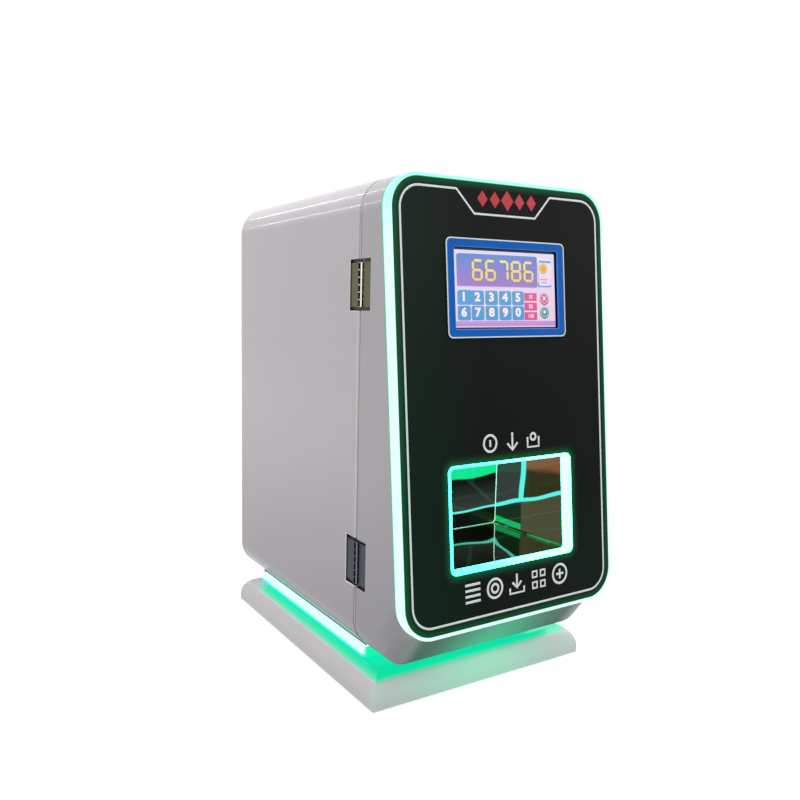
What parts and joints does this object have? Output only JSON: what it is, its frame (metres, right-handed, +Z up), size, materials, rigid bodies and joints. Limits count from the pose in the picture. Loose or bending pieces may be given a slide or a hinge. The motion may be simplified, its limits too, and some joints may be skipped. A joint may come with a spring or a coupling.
{
  "type": "coin dispenser",
  "caption": "Counter-top coin dispenser: rounded cabinet on a plinth, hinged front door with lit edge, touch screen and coin outlet, hopper and drive inside.",
  "frame": {"origin": "centre of the footprint, on the table", "axes": "+Z up, the front panel faces -Y, +X to the viewer's right"},
  "size_m": [0.33, 0.43, 0.61],
  "materials": {
    "painted_shell": "gloss painted",
    "painted_steel": "satin powder coat",
    "zinc_steel": "zinc plated",
    "foot_rubber": "matt",
    "seal_rubber": "matt",
    "edge_acrylic": "lit opal acrylic",
    "led_strip": "matt",
    "black_acrylic": "polished",
    "blue_plastic": "gloss",
    "display_glass": "lit screen",
    "circuit_board": "satin",
    "mirror_steel": "mirror polished",
    "hinge_steel": "satin",
    "chute_steel": "brushed",
    "supply_case": "matt",
    "lock_chrome": "polished",
    "brass": "satin",
    "inlet_black": "satin",
    "rocker_red": "gloss",
    "hopper_plastic": "satin",
    "disc_plastic": "satin",
    "motor_can": "satin"
  },
  "bodies": {
    "cabinet": {"base_plinth": "painted_shell", "cabinet_shell": "painted_shell", "base_bottom_plate": "painted_steel", "neck_rails": "painted_steel", "rear_panel": "painted_steel", "shelf_brackets": "painted_steel", "hopper_shelf": "painted_steel", "motor_bracket": "painted_steel", "base_screws": "zinc_steel", "body_bolts": "zinc_steel", "body_nuts": "zinc_steel", "rear_panel_screws": "zinc_steel", "cabinet_hinge_nuts": "zinc_steel", "board_standoffs": "zinc_steel", "lock_nut": "zinc_steel", "arm_spring": "zinc_steel", "hinge_pins": "zinc_steel", "rubber_feet": "foot_rubber", "door_seal": "seal_rubber", "neck_light_tube": "edge_acrylic", "control_board": "circuit_board", "cabinet_hinge_leaves": "hinge_steel", "coin_chute": "chute_steel", "power_supply": "supply_case", "lock_body": "lock_chrome", "disc_bearing": "brass", "power_inlet": "inlet_black", "coin_sensor": "inlet_black", "hopper_base": "hopper_plastic", "hopper_bowl": "hopper_plastic", "drive_motor": "motor_can"},
    "door": {"door_shell": "painted_shell", "edge_light_guide": "edge_acrylic", "edge_light_strip": "led_strip", "front_panel": "black_acrylic", "panel_posts": "zinc_steel", "screen_bezel": "blue_plastic", "touch_display": "display_glass", "display_bracket": "zinc_steel", "display_board": "circuit_board", "outlet_light_frame": "edge_acrylic", "outlet_tray": "mirror_steel", "tray_screws": "zinc_steel", "door_hinge_leaves": "hinge_steel", "door_hinge_nuts": "zinc_steel", "door_striker": "zinc_steel"},
    "lock": {"lock_plug": "brass", "lock_cam": "zinc_steel"},
    "rocker": {"power_rocker": "rocker_red"},
    "disc": {"coin_disc": "disc_plastic", "disc_shaft": "zinc_steel", "disc_gear": "disc_plastic"},
    "pinion": {"motor_pinion": "brass"},
    "arm": {"roller_arm": "zinc_steel"},
    "roller": {"exit_roller": "disc_plastic"}
  },
  "joints": [
    {"name": "door_swing", "type": "hinge", "parent": "cabinet", "child": "door", "pos_m": [-0.1615, -0.1166, 0.33], "axis": [0, 0, -1], "range_deg": [0, 105]},
    {"name": "lock_turn", "type": "hinge", "parent": "cabinet", "child": "lock", "pos_m": [0.15, -0.0986, 0.36235], "axis": [-1, 0, 0], "range_deg": [0, 90]},
    {"name": "switch_rock", "type": "hinge", "parent": "cabinet", "child": "rocker", "pos_m": [0.095, 0.2055, 0.132], "axis": [-1, 0, 0], "range_deg": [0, 18]},
    {"name": "disc_spin", "type": "hinge", "parent": "cabinet", "child": "disc", "pos_m": [0, 0.032, 0.37035], "axis": [0, 0, 1], "continuous": true},
    {"name": "pinion_spin", "type": "hinge", "parent": "cabinet", "child": "pinion", "pos_m": [0.045, 0.032, 0.35635], "axis": [0, 0, 1], "continuous": true},
    {"name": "arm_swing", "type": "hinge", "parent": "cabinet", "child": "arm", "pos_m": [0.04, -0.06, 0.37635], "axis": [0, 0, 1], "range_deg": [0, 8], "stiffness_Nm_per_rad": 0.5, "deforming": ["arm_spring"]},
    {"name": "roller_spin", "type": "hinge", "parent": "arm", "child": "roller", "pos_m": [0.01, -0.054, 0.37335], "axis": [0, 0, 1], "continuous": true}
  ],
  "couplings": [
    {"joint": "pinion_spin", "follows": "disc_spin", "ratio": -3}
  ]
}
